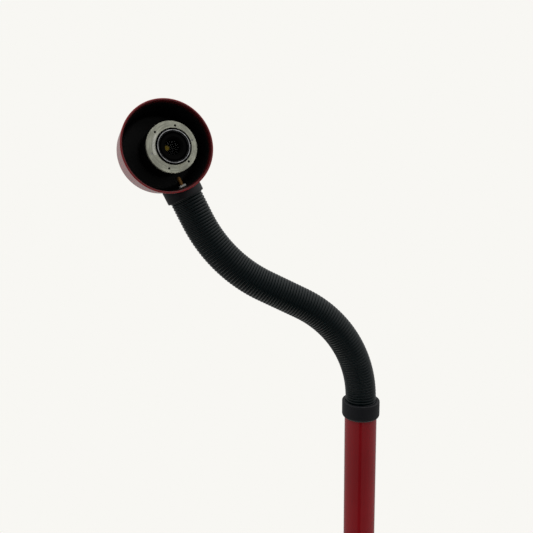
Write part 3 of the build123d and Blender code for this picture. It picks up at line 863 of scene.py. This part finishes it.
class WEBCAM_OT_camera_module(bpy.types.Operator):
    """Flange, lens rings, glass, and the small parts inside the can"""
    bl_idname = "webcam.camera_module"
    bl_label = "Camera module"

    def execute(self, context):
        anodised = black_anodised()
        dress(["camera_housing", "clamp_ring", "iris_plate", "pole_plug"], anodised)
        dress(["flange_ring"], turned_aluminium(colours()))
        dress(["flange_screws"], metal("zinc_screw", (0.42, 0.42, 0.40), 0.34))
        dress(["brass_stud"], metal("turned_brass", (0.24, 0.125, 0.04), 0.42))
        dress(["nylon_pad"], white_nylon())
        dress(["sensor_board"], circuit_board())
        dress(["image_sensor"], dark_cover())
        grip_ring(anodised)
        dull_black = flocked_black()
        dress(["lens_barrel"], dull_black)
        lens_rings(dull_black)
        return {"FINISHED"}


def grip_ring(material):
    """The focus ring, with straight flutes round its middle.

    Its radius dips by half the flutes' depth times 1 + cos(count * angle).
    """
    low, high = GRIP_BACK, LENS_FRONT - 0.00172
    profile = rounded([(GRIP_BORE_R, low, 0), (GRIP_R, low, 0.0005), (GRIP_R, high, 0.0005),
                       (GRIP_BORE_R, high, 0), (GRIP_BORE_R, low, 0)])
    profile = dense(profile, 0.0006)

    def flutes(wide, tall, angle):
        band = np.clip((tall - low - 0.0012) / 0.0006, 0, 1) * np.clip((high - 0.0012 - tall) / 0.0006, 0, 1)
        outer = wide > GRIP_R - 0.0005
        return wide - FLUTE_DEPTH * band * outer * (0.5 + 0.5 * np.cos(FLUTE_COUNT * angle))

    obj = turned("focus_grip", LENS, profile, around=288, ripple=flutes)
    finish_piece(obj, "focus", "black_anodised", material, "focus_ring")


def lens_rings(dull_black):
    """Front ring with a bright crest, stepped black bore, front glass, and the rear element with its painted
    amber reflection.
    """
    front = LENS_FRONT
    lip = [(0.0112, front - 0.0017, 0), (0.0151, front - 0.0017, 0.0002), (0.0151, front, 0.00035),
           (0.0144, front, 0.00015), (0.01425, front - 0.0005, 0), (0.0136, front - 0.0005, 0.0001),
           (0.01345, front - 0.0009, 0), (0.0126, front - 0.0009, 0.0001), (0.0124, front - 0.0013, 0),
           (0.0112, front - 0.0013, 0), (0.0112, front - 0.0017, 0)]
    obj = turned("lens_bright_ring", LENS, rounded(lip), around=160)
    finish_piece(obj, "focus", "bright_ring", front_ring_finish(), "lens_front_ring")
    wall, top = GLASS_RIM_R, front - 0.0014
    bore = [(wall - 0.0001, top)]
    for _ in range(4):
        bore.append((bore[-1][0] - 0.00035, bore[-1][1] - 0.0001))
        bore.append((bore[-1][0] - 0.00005, bore[-1][1] - 0.0009))
    foot = bore[-1][1] - 0.0005
    profile = [*bore, (bore[-1][0], foot), (wall, foot), (wall, top), bore[0]]
    obj = turned("lens_bore_steps", LENS, np.array(profile), around=160)
    finish_piece(obj, "head", "black_anodised", dull_black, "lens_baffle")
    obj = glass_disc("lens_front_glass", front - 0.0101, front - 0.0072, 0.0009)
    finish_piece(obj, "head", "lens_glass", lens_glass(), "front_element")
    obj = glass_disc("lens_rear_glass", 0.0070, 0.0104, 0.0008)
    finish_piece(obj, "head", "lens_glass", painted_amber_glass(), "rear_element")


def glass_disc(name, low, edge, rise):
    """A disc with a crowned front.

    Its height over the edge is the rise times one less the square of the radius over the rim's.
    """
    r = np.linspace(0, GLASS_RIM_R, 24)
    back = np.stack([r, np.full_like(r, low)], -1)
    crown = np.stack([r, edge + rise * (1 - (r / GLASS_RIM_R) ** 2)], -1)
    return turned(name, LENS, np.concatenate([back, crown[::-1]]), around=96)


class WEBCAM_OT_pole(bpy.types.Operator):
    """The two pole tubes, with rolled ends"""
    bl_idname = "webcam.pole"
    bl_label = "Pole"

    def execute(self, context):
        red = red_paint(colours())
        for name, body, node in (("pole_upper", "pole", "upper_tube"), ("pole_lower", "stand", "lower_tube")):
            low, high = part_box(node)
            outer = (high[0] - low[0]) / 2
            inner = outer - TUBE_WALL
            corners = [(inner, low[2], 0.0003), (outer, low[2], 0.0006), (outer, high[2], 0.0006),
                       (inner, high[2], 0.0003), (inner, low[2], 0.0003)]
            obj = turned(name, UPRIGHT, dense(rounded(corners), 0.02), around=128)
            finish_piece(obj, body, "red_paint", red, node)
        return {"FINISHED"}


class WEBCAM_OT_stand(bpy.types.Operator):
    """Clamp, hub, legs and feet"""
    bl_idname = "webcam.stand"
    bl_label = "Stand"

    def execute(self, context):
        plastic = moulded_plastic("stand_plastic", colours().collar_colour, 0.46)
        dress(["clamp_body", "clamp_knob", "pole_end_cap", "cable_gland", "slide_plug", "tube_bush",
               "leg_end_1", "leg_end_2", "leg_end_3"], plastic)
        dress(["tripod_hub"], cast_coat())
        dress(["foot_1", "foot_2", "foot_3"], soft_rubber())
        steel = metal("zinc_plate", (0.50, 0.50, 0.49), 0.28)
        dress(["clamp_screw", "hub_screw", "leg_pins", "housing_screws", "board_screws"]
              + [f"arm_link_{i}" for i in range(1, 10)], steel)
        red = bpy.data.materials["red_gloss_paint"]
        dress(["leg_tube_1", "leg_tube_2", "leg_tube_3"], red)
        return {"FINISHED"}


class WEBCAM_OT_studio(bpy.types.Operator):
    """Pale floor, soft light all round, and the camera"""
    bl_idname = "webcam.studio"
    bl_label = "Studio"

    def execute(self, context):
        studio_world()
        studio_floor()
        studio_camera()
        bpy.context.scene.view_settings.view_transform = "Standard"
        return {"FINISHED"}


def studio_world():
    """Soft light from all round: dimmest from in front, brighter from above and behind, even backdrop.

    The strength is a sum of smooth steps in the light's direction, less a narrow dark gap in front.
    """
    world = bpy.data.worlds.new("studio")
    bpy.context.scene.world = world
    world.use_nodes = True
    s = NodeTree(world.node_tree)
    s.tree.nodes.clear()
    direction = s.node("ShaderNodeTexCoord", {}, output="Generated")
    x, y, z = (s.node("ShaderNodeVectorMath", {"operation": "DOT_PRODUCT"}, direction, axis, output="Value")
               for axis in ((1.0, 0.0, 0.0), (0.0, 1.0, 0.0), (0.0, 0.0, 1.0)))
    strength = FRONT_LIGHT + (SIDE_LIGHT - FRONT_LIGHT) * y.step(-0.95, -0.1)
    strength = strength + (BACK_LIGHT - SIDE_LIGHT) * y.step(0.86, 0.995)
    strength = strength + TOP_LIGHT * z.step(0.0, 0.5) * (0.3 + 0.7 * x.math("ABSOLUTE").step(0.2, 0.7))
    gap = (x + GAP_TURN * (0.0 - y)).math("ABSOLUTE").step(GAP_OUTER, GAP_INNER) * (1.0 - y.step(-0.6, -0.3))
    strength = strength + ZENITH_LIGHT * z.step(0.75, 0.93)
    strength = strength * (1.0 - FLOOR_SHADE * (1.0 - z.step(-0.75, -0.25)))
    strength = strength * (1.0 - gap * (1.0 - z.step(-0.1, 0.1)))
    light = s.node("ShaderNodeBackground", {}, Color=(1.0, 0.995, 0.985, 1.0), Strength=strength)
    seen = s.node("ShaderNodeBackground", {}, Color=rgba(colours().backdrop_colour), Strength=1.0)
    ray = s.node("ShaderNodeLightPath", {}, output="Is Camera Ray")
    mixed = s.node("ShaderNodeMixShader", {}, ray, light, seen)
    output = s.tree.nodes.new("ShaderNodeOutputWorld")
    s.tree.links.new(mixed.socket, output.inputs["Surface"])


def studio_floor():
    """A round pale floor under the stand, fading out at its edge."""
    radius = np.linspace(0, FLOOR_R, 40)
    profile = np.stack([radius, np.full_like(radius, -FLOOR_DROP)], -1)
    floor = turned("studio_floor", UPRIGHT, profile[::-1], around=96)
    s = Shader("studio_floor")
    colour = colours().backdrop_colour
    _, _, _, away, _ = s.own_axes(UPRIGHT)
    s.set(Base_Color=s.mix(s.noise(3.0, 2.0), rgba(darker(colour, 0.97)), rgba(colour)), Roughness=0.9)
    s.set(Specular_IOR_Level=0.1)
    s.set(Alpha=1.0 - away.step(0.75, 1.28))
    paint(floor, s.material)


def studio_camera():
    """Camera just above the can's height, looking slightly down across the top of the pole."""
    data = bpy.data.cameras.new("studio_camera")
    camera = bpy.data.objects.new("studio_camera", data)
    bpy.context.scene.collection.objects.link(camera)
    data.lens, data.sensor_width = CAMERA_LENS, 36.0
    pitch, roll = CAMERA_PITCH, CAMERA_ROLL
    forward = np.array([0.0, math.cos(pitch), -math.sin(pitch)])
    right = np.array([1.0, 0.0, 0.0])
    down = np.array([0.0, -math.sin(pitch), -math.cos(pitch)])
    turned_right = math.cos(roll) * right - math.sin(roll) * down
    turned_down = math.sin(roll) * right + math.cos(roll) * down
    matrix = np.eye(4)
    matrix[:3, 0], matrix[:3, 1], matrix[:3, 2] = turned_right, -turned_down, -forward
    matrix[:3, 3] = CAMERA_PLACE
    camera.matrix_world = Matrix(matrix.tolist())
    data.clip_start, data.clip_end = 0.05, 50.0
    bpy.context.scene.camera = camera


class WEBCAM_PT_panel(bpy.types.Panel):
    """Lists the builders of the webcam's pieces"""
    bl_idname = "WEBCAM_PT_panel"
    bl_label = "Webcam"
    bl_space_type = "VIEW_3D"
    bl_region_type = "UI"
    bl_category = "Webcam"

    def draw(self, context):
        for operator in OPERATORS:
            self.layout.operator(operator.bl_idname)
        for group in (context.scene.webcam_colours, context.scene.gooseneck_sizes):
            for name in group.bl_rna.properties.keys():
                if name not in ("rna_type", "name"):
                    self.layout.prop(group, name)


OPERATORS = (
    WEBCAM_OT_gooseneck, WEBCAM_OT_can, WEBCAM_OT_collars, WEBCAM_OT_camera_module,
    WEBCAM_OT_pole, WEBCAM_OT_stand, WEBCAM_OT_studio,
)
CLASSES = (WebcamColours, GooseneckSizes, *OPERATORS, WEBCAM_PT_panel)


def register():
    for cls in CLASSES:
        bpy.utils.register_class(cls)
    bpy.types.Scene.webcam_colours = bpy.props.PointerProperty(type=WebcamColours)
    bpy.types.Scene.gooseneck_sizes = bpy.props.PointerProperty(type=GooseneckSizes)


def unregister():
    del bpy.types.Scene.gooseneck_sizes
    del bpy.types.Scene.webcam_colours
    for cls in reversed(CLASSES):
        bpy.utils.unregister_class(cls)


def main():
    register()
    bpy.ops.webcam.gooseneck()
    bpy.ops.webcam.can()
    bpy.ops.webcam.collars()
    bpy.ops.webcam.camera_module()
    bpy.ops.webcam.pole()
    bpy.ops.webcam.stand()
    bpy.ops.webcam.studio()


if __name__ == "__main__":
    main()
